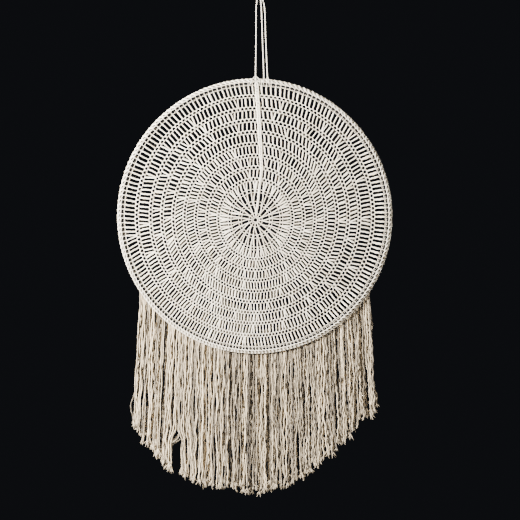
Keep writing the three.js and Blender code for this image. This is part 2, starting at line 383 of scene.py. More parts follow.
# Studio: lights by name, place, power, size in metres and colour
BACKDROP = (0.006, 0.0065, 0.008, 1)
LIGHT_AIM = (0, 0, -80)
LIGHTS = (
    ("key", (-1000, -700, 200), 198, 0.2, (1.0, 0.965, 0.91)),
    ("fill", (1300, -2200, -300), 9, 1.4, (0.97, 0.98, 1.0)),
    ("back", (-700, 2200, 900), 110, 1.6, (1.0, 0.98, 0.95)),
)
FLOOR_SIZE = 3600.0
FLOOR_PLACE = (0, 300, -1400)


def row_point(point):
    """A point about the middle of the hoop, in the row frame."""
    return HOOP_CENTRE + Vector(point) * MM


def row_points(points):
    """The same for an array of points."""
    return points * MM + np.array(HOOP_CENTRE)


def unit(vectors):
    return vectors / np.linalg.norm(vectors, axis=-1, keepdims=True)


def mix(low, high, share):
    return low + (high - low) * share


def smooth(low, high, value):
    """0 up to low, 1 from high, and an even ease between them."""
    share = np.clip((value - low) / (high - low), 0, 1)
    return share * share * (3 - 2 * share)


def hump(value, middle, span):
    """1 at the middle, and next to nothing two spans away."""
    return np.exp(-((value - middle) / span) ** 2)


def full_turn(steps):
    """Steps round a closed loop, as angles."""
    return np.linspace(0, 2 * np.pi, steps, endpoint=False)


def following(angles):
    """The place after each one on a closed round."""
    return np.append(angles[1:], angles[0] + 2 * np.pi)


# Yarn as swept tubes

def frames_along(paths, closed):
    """Normal and side of each ring of many paths, turning as little as they can."""
    if closed:
        tangent = np.roll(paths, -1, 1) - np.roll(paths, 1, 1)
    else:
        tangent = np.gradient(paths, axis=1)
    tangent = unit(tangent)
    normal = np.empty_like(tangent)
    previous = np.eye(3)[np.abs(tangent[:, 0]).argmin(1)]
    for ring in range(paths.shape[1]):
        along = tangent[:, ring]
        previous = unit(previous - (previous * along).sum(1, keepdims=True) * along)
        normal[:, ring] = previous
    return normal, np.cross(tangent, normal)


def sweep(paths, radius, closed=False, sides=YARN_SIDES, tone=0.5, ply=0.0):
    """Yarn along many paths of as many rings each; radius and tone may differ by tube and ring."""
    paths = np.asarray(paths, float)
    tubes, rings = paths.shape[:2]
    radius = np.broadcast_to(radius, (tubes, rings))
    tone = np.broadcast_to(tone, (tubes, rings))
    normal, side = frames_along(paths, closed)
    turn = 2 * np.pi * np.arange(sides) / sides
    spoke = normal[:, :, None] * np.cos(turn)[:, None] + side[:, :, None] * np.sin(turn)[:, None]
    step = np.linalg.norm(np.diff(paths, axis=1, append=paths[:, :1]), axis=2)
    run = np.concatenate([np.zeros((tubes, 1)), np.cumsum(step, 1)], 1)
    twist = 2 * (turn - 2 * np.pi * run[:, :rings, None] / PLY_PITCH)
    reach = radius[:, :, None] * (1 + ply * np.cos(twist))
    points = paths[:, :, None] + reach[..., None] * spoke
    return {"points": points, "closed": closed, "run": run, "tone": np.repeat(tone[:, :, None], sides, 2)}


def corner_rows(tubes, rings, sides, closed):
    """Vertex number, tube, and ring and side counts of each corner of the quads along the tubes."""
    spans = rings if closed else rings - 1
    tube, ring, side = np.meshgrid(np.arange(tubes), np.arange(spans), np.arange(sides), indexing="ij")
    corners = []
    for ring_step, side_step in ((0, 0), (0, 1), (1, 1), (1, 0)):
        next_ring = ring + ring_step
        next_side = side + side_step
        vertex = (tube * rings + next_ring % rings) * sides + next_side % sides
        corners.append(np.stack([vertex, tube, next_ring, next_side], -1))
    return np.stack(corners, -2).reshape(-1, 4)


def cap_rows(tubes, rings, sides):
    """The same for the two ends of open tubes."""
    tube, side = np.meshgrid(np.arange(tubes), np.arange(sides), indexing="ij")
    ends = []
    for ring, order in ((0, side[:, ::-1]), (rings - 1, side)):
        ring_number = np.full_like(tube, ring)
        vertex = (tube * rings + ring) * sides + order
        ends.append(np.stack([vertex, tube, ring_number, order], -1))
    return np.stack(ends, 1).reshape(-1, 4)


def strip_map(rows, rings, sides, first, columns, lines):
    """Each tube as a strip in a cell of its own, for the baked finish."""
    number = rows[:, 1] + first
    room = 1 - 2 * MAP_MARGIN
    u = (number % columns + MAP_MARGIN + room * rows[:, 2] / rings) / columns
    v = (number // columns + MAP_MARGIN + room * rows[:, 3] / sides) / lines
    return np.stack([u, v], 1)


def yarn_piece(name, batches, material):
    """One mesh of all the tubes of the batches, with maps that run along and round the yarn."""
    total = sum(len(batch["points"]) for batch in batches)
    columns = max(1, math.ceil(math.sqrt(total / MAP_ASPECT)))
    lines = math.ceil(total / columns)
    points, tones, loops, sizes, strips, yarns = [], [], [], [], [], []
    first_vertex = 0
    first_tube = 0
    for batch in batches:
        tubes, rings, sides = batch["points"].shape[:3]
        rows = corner_rows(tubes, rings, sides, batch["closed"])
        sizes.append(np.full(len(rows) // 4, 4))
        if not batch["closed"]:
            rows = np.concatenate([rows, cap_rows(tubes, rings, sides)])
            sizes.append(np.full(2 * tubes, sides))
        loops.append(rows[:, 0] + first_vertex)
        strips.append(strip_map(rows, rings, sides, first_tube, columns, lines))
        start = YARN_OFFSET * (rows[:, 1] + first_tube)
        yarns.append(np.stack([batch["run"][rows[:, 1], rows[:, 2]] + start, rows[:, 3] / sides], 1))
        points.append(batch["points"].reshape(-1, 3))
        tones.append(batch["tone"].reshape(-1))
        first_vertex += tubes * rings * sides
        first_tube += tubes
    places = row_points(np.concatenate(points))
    counts = np.concatenate(sizes)
    mesh = bpy.data.meshes.new(name)
    mesh.vertices.add(len(places))
    mesh.vertices.foreach_set("co", places.ravel())
    mesh.loops.add(int(counts.sum()))
    mesh.loops.foreach_set("vertex_index", np.concatenate(loops).astype(np.int32))
    mesh.polygons.add(len(counts))
    mesh.polygons.foreach_set("loop_start", np.concatenate([[0], np.cumsum(counts)[:-1]]).astype(np.int32))
    for layer, values in (("OFBake", strips), ("Yarn", yarns)):
        mesh.uv_layers.new(name=layer).data.foreach_set("uv", np.concatenate(values).ravel())
    mesh.attributes.new("tone", "FLOAT", "POINT").data.foreach_set("value", np.concatenate(tones))
    mesh.update(calc_edges=True)
    mesh.shade_smooth()
    mesh.materials.append(material)
    piece = bpy.data.objects.new(name, mesh)
    bpy.context.collection.objects.link(piece)
    return piece


def smooth_path(points, step):
    """A curve through the points, the same as the solids follow, with a place about every step."""
    points = np.asarray(points, float)
    ends = np.vstack([2 * points[0] - points[1], points, 2 * points[-1] - points[-2]])
    knots = np.concatenate([[0], np.cumsum(np.sqrt(np.linalg.norm(np.diff(ends, axis=0), axis=1)))])
    path = []
    for i in range(1, len(ends) - 2):
        near = knots[i - 1:i + 3]
        count = max(2, round(np.linalg.norm(ends[i + 1] - ends[i]) / step))
        for t in np.linspace(knots[i], knots[i + 1], count, endpoint=False):
            layer = list(ends[i - 1:i + 3])
            for pairs in (((0, 1), (1, 2), (2, 3)), ((0, 2), (1, 3)), ((1, 2),)):
                layer = [
                    ((near[b] - t) * p + (t - near[a]) * q) / (near[b] - near[a])
                    for p, q, (a, b) in zip(layer[:-1], layer[1:], pairs)
                ]
            path.append(layer[0])
    path.append(points[-1])
    return np.array(path)


def plies(path, offset, pitch, closed):
    """Paths of a cord's plies, twisted round its own path."""
    normal, side = frames_along(path[None], closed)
    run = np.concatenate([[0], np.cumsum(np.linalg.norm(np.diff(path, axis=0), axis=1))])
    whole = run[-1] + (np.linalg.norm(path[0] - path[-1]) if closed else 0)
    turns = max(1, round(whole / pitch))
    strands = []
    for ply in range(CORD_PLIES):
        angle = 2 * np.pi * (ply / CORD_PLIES + turns * run / whole)
        strands.append(path + offset * (normal[0] * np.cos(angle)[:, None] + side[0] * np.sin(angle)[:, None]))
    return np.array(strands)


def cord_batch(path, diameter, closed=False, tone=CORD_TONE):
    """A two-ply cord along a path."""
    strands = plies(path, PLY_OFFSET * diameter, PLY_TURN * diameter, closed)
    return sweep(strands, PLY_RADIUS * diameter, closed, tone=tone)


# Materials

def cotton(name, pale, deep, tone_share):
    """Natural cotton yarn: twisted plies with fine fibres, a little sheen, tone that drifts, and painted shade
    that darkens the grooves between the plies.
    """
    material = bpy.data.materials.new(name)
    material.use_nodes = True
    nodes = material.node_tree.nodes
    link = material.node_tree.links.new
    shader = nodes["Principled BSDF"]
    shader.inputs["Sheen Weight"].default_value = 0.25
    shader.inputs["Sheen Roughness"].default_value = 0.55
    shader.inputs["Specular IOR Level"].default_value = 0.25

    def math_node(operation, *values):
        node = nodes.new("ShaderNodeMath")
        node.operation = operation
        for socket, value in zip(node.inputs, values):
            if isinstance(value, (int, float)):
                socket.default_value = value
            else:
                link(value, socket)
        return node.outputs[0]

    yarn = nodes.new("ShaderNodeUVMap")
    yarn.uv_map = "Yarn"
    parts = nodes.new("ShaderNodeSeparateXYZ")
    link(yarn.outputs["UV"], parts.inputs[0])
    along, round_yarn = parts.outputs["X"], parts.outputs["Y"]
    phase = math_node(
        "ADD", math_node("MULTIPLY", along, TWIST_ALONG), math_node("MULTIPLY", round_yarn, TWIST_ROUND)
    )
    twist = math_node("SINE", math_node("MULTIPLY", phase, 2 * math.pi))
    ply = math_node("MULTIPLY_ADD", twist, 0.5, 0.5)

    stretch = nodes.new("ShaderNodeCombineXYZ")
    link(math_node("MULTIPLY", along, FIBRE_ALONG), stretch.inputs["X"])
    link(math_node("ADD", math_node("MULTIPLY", round_yarn, FIBRE_ROUND), along), stretch.inputs["Y"])
    fibre = nodes.new("ShaderNodeTexNoise")
    fibre.inputs["Scale"].default_value = 1.6
    fibre.inputs["Detail"].default_value = 4.0
    link(stretch.outputs[0], fibre.inputs["Vector"])

    place = nodes.new("ShaderNodeTexCoord")
    drift = nodes.new("ShaderNodeTexNoise")
    drift.inputs["Scale"].default_value = 26.0
    drift.inputs["Detail"].default_value = 3.0
    link(place.outputs["Object"], drift.inputs["Vector"])

    tone = nodes.new("ShaderNodeAttribute")
    tone.attribute_name = "tone"
    # Painted shade: the colour darkens in the grooves between the plies, and tone, fibres and drift add to the
    # same darkening
    shade = math_node("MULTIPLY", math_node("SUBTRACT", 1.0, ply), GROOVE_SHADE)
    for source, share in ((tone, tone_share), (fibre, FIBRE_SHADE), (drift, DRIFT_SHADE)):
        shade = math_node("ADD", shade, math_node("MULTIPLY", source.outputs["Fac"], share))
    ramp = nodes.new("ShaderNodeValToRGB")
    ramp.color_ramp.elements[0].position = 0.25
    ramp.color_ramp.elements[0].color = (*pale, 1)
    ramp.color_ramp.elements[1].color = (*deep, 1)
    link(shade, ramp.inputs["Fac"])
    link(ramp.outputs["Color"], shader.inputs["Base Color"])

    rough = nodes.new("ShaderNodeMapRange")
    rough.inputs["To Min"].default_value = 0.78
    rough.inputs["To Max"].default_value = 0.98
    link(fibre.outputs["Fac"], rough.inputs["Value"])
    link(rough.outputs["Result"], shader.inputs["Roughness"])

    bump = nodes.new("ShaderNodeBump")
    bump.inputs["Strength"].default_value = 0.7
    bump.inputs["Distance"].default_value = BUMP_DEPTH * MM
    link(math_node("ADD", ply, math_node("MULTIPLY", fibre.outputs["Fac"], FIBRE_BUMP)), bump.inputs["Height"])
    link(bump.outputs["Normal"], shader.inputs["Normal"])
    return material


def steel():
    """Wire of the hoop: drawn steel with fine lines and dull patches, painted near-black so that the holes of the
    rim over it show as shadow.
    """
    material = bpy.data.materials.new("hoop_steel")
    material.use_nodes = True
    nodes = material.node_tree.nodes
    link = material.node_tree.links.new
    shader = nodes["Principled BSDF"]
    shader.inputs["Metallic"].default_value = 1.0
    place = nodes.new("ShaderNodeTexCoord")
    lines = nodes.new("ShaderNodeTexNoise")
    lines.inputs["Scale"].default_value = 300.0
    lines.inputs["Detail"].default_value = 5.0
    link(place.outputs["Object"], lines.inputs["Vector"])
    ramp = nodes.new("ShaderNodeValToRGB")
    # Painted shade: near-black steel colours, so the wire seen through the rim's holes reads as shadow
    ramp.color_ramp.elements[0].color = (0.01, 0.01, 0.011, 1)
    ramp.color_ramp.elements[1].color = (0.03, 0.03, 0.031, 1)
    link(lines.outputs["Fac"], ramp.inputs["Fac"])
    link(ramp.outputs["Color"], shader.inputs["Base Color"])
    rough = nodes.new("ShaderNodeMapRange")
    rough.inputs["To Min"].default_value = 0.3
    rough.inputs["To Max"].default_value = 0.55
    link(lines.outputs["Fac"], rough.inputs["Value"])
    link(rough.outputs["Result"], shader.inputs["Roughness"])
    return material


WEB_COTTON = cotton("web_cotton_yarn", (0.94, 0.885, 0.765), (0.50, 0.42, 0.31), 0.35)
FRINGE_COTTON = cotton("fringe_cotton_yarn", (0.66, 0.537, 0.358), (0.047, 0.037, 0.027), 0.55)
CORD_COTTON = cotton("cord_cotton_yarn", (0.86, 0.82, 0.74), (0.52, 0.46, 0.37), 0.3)


# Web

def on_web(radius, angle, sideways=0.0, front=0.0):
    """Points of the web: its middle hangs a little low, it is taller than wide, and its edge is on the wire."""
    drift = 1 - (radius / HOOP_RADIUS) ** 2
    front = front + RIM_LIFT * smooth(*LIFT_FROM, radius)
    low = np.interp(radius, PATTERN_RADII, PATTERN_Z)
    stretch = STRETCH * smooth(*STRETCH_FROM, radius) * (1 - smooth(*STRETCH_TO, radius))
    radius = radius - stretch * np.cos(2 * angle)
    x = PATTERN_X * drift + radius * np.cos(angle) - sideways * np.sin(angle)
    z = low + radius * np.sin(angle) + sideways * np.cos(angle)
    return np.stack(np.broadcast_arrays(x, -front, z), -1)


def row_radius(row):
    """Middle of the chain that closes a round; the chain round the centre is row -1."""
    if row < 0:
        return CENTRE_ROW
    return FIRST_ROW + ROW_STEP * row + TALL_STEP * max(0, row - TALL_FROM)


def chain_half(row):
    """Half the height of the chain that closes a round."""
    if row < 0:
        return CENTRE_HALF
    if row == LAST_ROUND:
        return LAST_HALF
    return FIRST_HALF if row < FIRST_CHAINS else CHAIN_HALF


def stands_over(row):
    """Whether a round's loops stand over their own stitches."""
    return OVER_FROM <= row <= OVER_TO


def seam_angle(radius):
    """The seam stands a little right of upright, more so near the middle."""
    aside = SEAM_AT_RIM + SEAM_DRIFT * (RIM_RADIUS - radius)
    return math.pi / 2 - math.asin(min(SEAM_LEAN, aside / radius))


def relaxed(angles, seam):
    """Stitches that settle between their neighbours, from the seam round to the seam."""
    ends = np.concatenate([[seam], angles, [seam + 2 * np.pi]])
    for _ in range(TOP_RELAX):
        ends[1:-1] = (ends[:-2] + 2 * ends[1:-1] + ends[2:]) / 4
    return ends[1:-1]


def centre_places():
    """Links round the centre; the starting chain and the stitch beside it share the first."""
    turns = (np.arange(CENTRE_LINKS) + CENTRE_SHARE_ROOM / 2) / CENTRE_LINKS
    turns[0] = CENTRE_SHARE_ROOM / CENTRE_LINKS
    return seam_angle(CENTRE_ROW) + 2 * np.pi * turns


def uneven(angles, radius):
    """Stitches stand furthest apart at the upper left and closest at the bottom, more so in the outer rounds."""
    outer = smooth(*SPREAD_FROM, radius)
    share = mix(SPREAD_INNER, SPREAD_OUTER, outer) * smooth(*SPREAD_START, radius)

    def shift(angle):
        return share * np.sin(angle - SPREAD_TOWARDS) + TWICE_OUTER * outer * np.sin(2 * (angle - TWICE_TOWARDS))

    return angles + shift(angles) - shift(seam_angle(radius))


def stitch_places():
    """Base and top angles by round: each stitch is worked into one of the round before, and some share one."""
    places = []
    hosts = centre_places()
    for number, count in enumerate(ROUND_STITCHES):
        rng = np.random.default_rng(PLACE_SEED + number)
        extra = count - len(hosts)
        step = (np.arange(extra) + 0.5 + rng.uniform(-SHARE_SPREAD, SHARE_SPREAD, extra)) / extra
        shared = np.bincount((step * len(hosts)).astype(int), minlength=len(hosts))
        if number == 0:
            shared = np.minimum(np.arange(len(hosts)), 1)
        host = np.repeat(np.arange(len(hosts)), 1 + shared)
        order = np.arange(count) - np.searchsorted(host, host)
        room = 2 * np.pi / len(hosts)
        share_room = SHARE_ROOM if number else CENTRE_SHARE_ROOM
        base = hosts[host] + (order - shared[host] / 2) * share_room * room
        inner, outer = row_radius(number - 1), row_radius(number)
        even = relaxed(base, seam_angle(outer))
        top = mix(base, even, PAIR_OPENING) if number < PAIRED_ROUNDS else even
        top = top + rng.normal(0, TOP_SPREAD * 2 * np.pi / count, count)
        places.append((uneven(base, inner), uneven(top, outer)))
        hosts = even
    return places


def gap_share(rng, number, angles):
    """Open part of each stitch's width: wide in the first rounds and near the rim, close in the third."""
    lean = mix(*OPEN_LEAN, number / LAST_ROUND) * (np.cos(angles - OPEN_TOWARDS) - OPEN_TWICE * np.sin(2 * angles))
    lumps = sum(
        rng.normal(0, OPEN_LUMP) * np.sin(turns * angles + rng.uniform(0, OPEN_LUMP_PHASE))
        for turns in OPEN_LUMP_TURNS
    )
    closed = np.where(rng.random(len(angles)) < CLOSED_SHARE, CLOSED_BY, 0.0)
    share = OPEN_SHARE[number] + lean + lumps + rng.normal(0, OPEN_SPREAD, len(angles)) - closed
    return np.clip(share, *OPEN_LIMITS)


def post_batches(rng, number, base_angle, top_angle):
    """Tall stitches: two legs that loop under the chain below, and a third yarn wound with them."""
    base = row_radius(number - 1)
    half = chain_half(number - 1)
    low = base + half + POST_LIFT
    high = row_radius(number) - chain_half(number)
    pitch = np.gradient(top_angle) * (low + high) / 2
    width = np.clip(pitch * (1 - gap_share(rng, number, top_angle)), *POST_WIDTH)[:, None]
    angle = base_angle[:, None]
    lean = top_angle[:, None] - angle
    count = len(angle)
    bow = rng.normal(0, POST_BOW, (count, 1))
    depth = rng.normal(0, POST_DEPTH, (count, 1))
    yarn = width / POST_FULLNESS
    spread = POST_SPREAD * yarn
    share = np.linspace(0, 1, POST_RINGS)[None]
    start = rng.normal(0, POST_START, (count, 1))
    tone = rng.uniform(0, 1, (count, 1))

    def leg(strand):
        turn = start + 2 * np.pi * (strand / 3 + POST_TWIST * share)
        reach = spread * mix(POST_FOOT, 1.0, smooth(0.0, POST_FOOT_TO, share))
        reach = reach * (1 - POST_HEAD * smooth(POST_HEAD_FROM, 1.0, share))
        reach = reach * (1 + POST_WRAP * hump(share, POST_WRAP_AT, POST_WRAP_SPAN))
        aside = reach * np.sin(turn) + bow * np.sin(np.pi * share)
        return on_web(mix(low, high, share), angle + lean * share, aside, reach * np.cos(turn) + depth)

    fold_radius = np.clip(FOLD_SHARE * 2 * np.pi * base / count, *FOLD_LIMITS)
    front = CHAIN_RADIUS + fold_radius + FOLD_GAP

    def fold(aside):
        """The yarn's way over the front of the chain, under it and up its back."""
        way = (
            (base + FOLD_TOP * half, front),
            (base - half, FOLD_TURN * front),
            (base - half - CHAIN_RADIUS - FOLD_UNDER * fold_radius, 0.0),
            (base - half, -FOLD_TURN * front),
            (base + FOLD_TOP * half, -front),
        )
        return np.concatenate([on_web(radius, angle, aside, forward) for radius, forward in way], 1)

    foot = fold_radius
    if stands_over(number - 1):
        foot = FOOT_SHARE * 2 * np.pi * base / ROUND_STITCHES[number - 1]
    first = np.concatenate([leg(0)[:, ::-1], fold(-foot), leg(1)], 1)
    second = np.concatenate([leg(2)[:, ::-1], fold(foot)], 1)
    thick = np.repeat(yarn, first.shape[1], 1)
    thick[:, POST_RINGS:-POST_RINGS] = fold_radius
    return [sweep(first, thick, tone=tone), sweep(second, thick[:, :second.shape[1]], tone=tone)]


def chain_batch(rng, radius, angles, half, yarn, over=False):
    """A round's chain: one loop by each stitch, over it or from it to the next, its end under the one before."""
    turn = full_turn(CHAIN_RINGS)[None]
    start, end = angles, following(angles)
    if over:
        start, end = (np.append(angles[-1] - 2 * np.pi, angles[:-1]) + angles) / 2, (angles + end) / 2
    middle = ((start + end) / 2)[:, None]
    reach = (end - start)[:, None] * radius / 2 + CHAIN_OVERLAP * yarn
    tall = half * (1 + rng.normal(0, CHAIN_HEIGHTS, middle.shape))
    aside = reach * np.sign(np.cos(turn)) * np.abs(np.cos(turn)) ** CHAIN_BULGE[0]
    rise = tall * np.sign(np.sin(turn)) * np.abs(np.sin(turn)) ** CHAIN_BULGE[1]
    front = CHAIN_FRONT + CHAIN_TILT * yarn * np.cos(turn) + rng.normal(0, CHAIN_DEPTHS, middle.shape)
    loops = on_web(radius + rise, middle, aside, front)
    return sweep(loops, yarn, closed=True, tone=rng.uniform(0, 1, middle.shape))


def web_round(number, base, top):
    """A round of tall stitches and the chain that closes it, from its starting chain in the seam."""
    rng = np.random.default_rng(ROUND_SEED + number)
    radius = row_radius(number)
    batches = post_batches(rng, number, base, top)
    yarn = FINE_CHAIN_RADIUS if number in FINE_CHAINS else CHAIN_RADIUS
    places = np.append(seam_angle(radius), top)
    batches.append(chain_batch(rng, radius, places, chain_half(number), yarn, stands_over(number)))
    return yarn_piece(f"web_round_{number + 1:02d}", batches, WEB_COTTON)


def web_centre():
    """Ring that the first round is worked on, and its chain."""
    rng = np.random.default_rng(CENTRE_SEED)
    turn = full_turn(CENTRE_RINGS)
    rings = [
        on_web(radius + CENTRE_WAVE * np.sin(CENTRE_WAVES * turn + radius), turn, 0.0, CENTRE_DEPTH * side)
        for side, radius in zip((-1, 1), CENTRE_CIRCLES)
    ]
    batches = [
        sweep(np.array(rings), CHAIN_RADIUS, closed=True, tone=CENTRE_TONE),
        chain_batch(rng, CENTRE_ROW, centre_places(), CENTRE_HALF, CENTRE_YARN),
    ]
    return yarn_piece("web_centre_ring", batches, WEB_COTTON)


def web_seam():
    """Starting chains of the rounds, one above the other, a ridge from the middle to the rim."""
    rng = np.random.default_rng(SEAM_SEED)
    turn = full_turn(SEAM_RINGS)[None]
    batches = []
    for number in range(len(ROUND_STITCHES)):
        base = row_radius(number - 1)
        step = (row_radius(number) - base) / SEAM_LINKS
        middle = base + step * (np.arange(SEAM_LINKS) + 0.5)[:, None]
        angle = np.array([seam_angle(radius) for radius in middle[:, 0]])[:, None]
        reach = step / 2 + SEAM_OVERLAP
        outwards = smooth(*SEAM_WIDEN, middle)
        aside = mix(*SEAM_HALF, outwards) * np.sin(turn) * (1 - SEAM_TAPER * np.cos(turn))
        aside = aside + rng.normal(0, SEAM_SPREAD, middle.shape)
        front = SEAM_FRONT + SEAM_TILT * np.cos(turn)
        loops = on_web(middle + reach * np.cos(turn), angle, aside, front)
        tone = rng.uniform(*SEAM_TONES, middle.shape)
        batches.append(sweep(loops, mix(*SEAM_YARN, outwards), closed=True, tone=tone))
    return yarn_piece("web_seam_chain", batches, WEB_COTTON)


# Rim

def on_rim(angle, section, reach, along=0.0):
    """Points about the wire: section counts from the side that faces the middle, over the front."""
    turned = angle + along / HOOP_RADIUS
    radius = HOOP_RADIUS - reach * np.cos(section)
    x = radius * np.cos(turned)
    z = radius * np.sin(turned)
    return np.stack(np.broadcast_arrays(x, -reach * np.sin(section), z), -1)


def rim_wraps(angles):
    """Short stitches over the wire, one from each stitch of the last round: two legs and a link of the edge."""
    rng = np.random.default_rng(RIM_SEED)
    angle = angles[:, None]
    next_angle = following(angles)[:, None]
    half_step = HOOP_RADIUS * (next_angle - angle) / 2
    section = np.radians(np.linspace(*LEG_SECTION, LEG_STEPS))[None]
    edge_section = math.radians(EDGE_SECTION)
    slant = LEG_SLANT * (section - edge_section) / (section[0, -1] - section[0, 0])
    behind = smooth(*np.radians(LEG_SPREAD), section)
    thick = mix(*LEG_RADIUS, behind)
    teeth = LEG_TOOTH * hump(section, math.radians(LEG_TOOTH_AT), math.radians(LEG_TOOTH_SPAN))
    reach = EDGING_RADIUS - thick - LEG_INSET + teeth
    spacing = mix(LEG_SPACING, half_step, behind)
    batches = []
    for side in (-0.5, 0.5):
        along = slant + side * spacing + rng.normal(0, LEG_ALONG, angle.shape)
        legs = on_rim(angle, section, reach + rng.normal(0, LEG_REACH, angle.shape), along)
        batches.append(sweep(legs, thick, tone=rng.uniform(0, 1, angle.shape)))
    turn = full_turn(EDGE_RINGS)[None]
    across = EDGE_HALF * np.sin(turn) + EDGE_TILT * np.cos(turn)
    lift = EDGING_RADIUS - EDGE_INSET + EDGE_LIFT * np.cos(turn)
    along = (half_step + EDGE_OVERLAP) * np.cos(turn)
    edge = on_rim((angle + next_angle) / 2, edge_section + across, lift, along)
    batches.append(sweep(edge, EDGE_RADIUS, closed=True, tone=rng.uniform(*EDGE_TONES, angle.shape)))
    return yarn_piece("rim_stitches", batches, WEB_COTTON)


# Fringe

def wire_rise(x):
    """How far the wire stands above or below the middle of the hoop, at a place across it."""
    return np.sqrt(HOOP_RADIUS ** 2 - x * x)


def strand_end(x):
    """Height that the strands are cut at: higher at both edges, and most so at the right."""
    edges = EDGE_TRIM * (x / FRINGE_HALF_WIDTH) ** 4
    right = RIGHT_TRIM * smooth(*RIGHT_FROM, x) + CORNER_TRIM * smooth(*CORNER_FROM, x)
    return -wire_rise(x) + STRAND_SLANT * x + edges + right - STRAND_LENGTH


def wave(rng, depth, sizes, lengths):
    """A sway of its own for each strand, along its length."""
    shape = (len(depth), 1)
    size = rng.uniform(*sizes, shape)
    return size * np.sin(2 * np.pi * depth / rng.uniform(*lengths, shape) + rng.uniform(0, 2 * np.pi, shape))


def bundle_pull(number, x):
    """How far each strand's end is drawn towards the middle of the few strands that hang together with it."""
    rng = np.random.default_rng(BUNDLE_SEED + number)
    order = np.argsort(x[:, 0])
    bundle = np.empty(len(x), int)
    bundle[order] = np.cumsum(rng.random(len(x)) < 1 / BUNDLE)
    pull = np.zeros_like(x)
    for each in np.unique(bundle):
        inside = bundle == each
        pull[inside] = rng.uniform(*BUNDLE_PULL) * (x[inside].mean() + rng.normal(0, BUNDLE_SPREAD) - x[inside])
    aside = 2 * np.abs(x - x.mean()) / np.ptp(x)
    return pull * (1 - smooth(*BUNDLE_EDGE, aside))


def tufts(rng, tips, ends):
    """Brush of loose fibres at each strand's end."""
    count = len(tips) * TUFT_HAIRS
    along = np.repeat(unit(tips - ends), TUFT_HAIRS, 0)
    flare = np.where(rng.random(len(tips)) < TUFT_FLARED, 1.0, rng.uniform(*TUFT_FLARE, len(tips)))
    flare = np.repeat(flare, TUFT_HAIRS)[:, None]
    spread = along + flare * rng.normal(0, TUFT_SPREAD, (count, 3)) * np.array(TUFT_SHAPE)
    reach = mix(TUFT_SHORT, 1.0, flare[:, None]) * rng.uniform(*TUFT_LENGTH, (count, 1, 1))
    steps = np.linspace(0, 1, len(TUFT_RADII))[None, :, None]
    curl = rng.normal(0, TUFT_CURL, (count, 1, 3))
    hairs = np.repeat(ends, TUFT_HAIRS, 0)[:, None] + reach * steps * (unit(spread)[:, None] + curl * steps)
    return sweep(hairs, np.array([TUFT_RADII]), sides=TUFT_SIDES, tone=TUFT_TONE)


def knot_sides(number):
    """Left and right end of a lock's row of knots."""
    low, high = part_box(f"fringe_knot_{number:02d}")
    return (low.x - HOOP_CENTRE.x) / MM, (high.x - HOOP_CENTRE.x) / MM


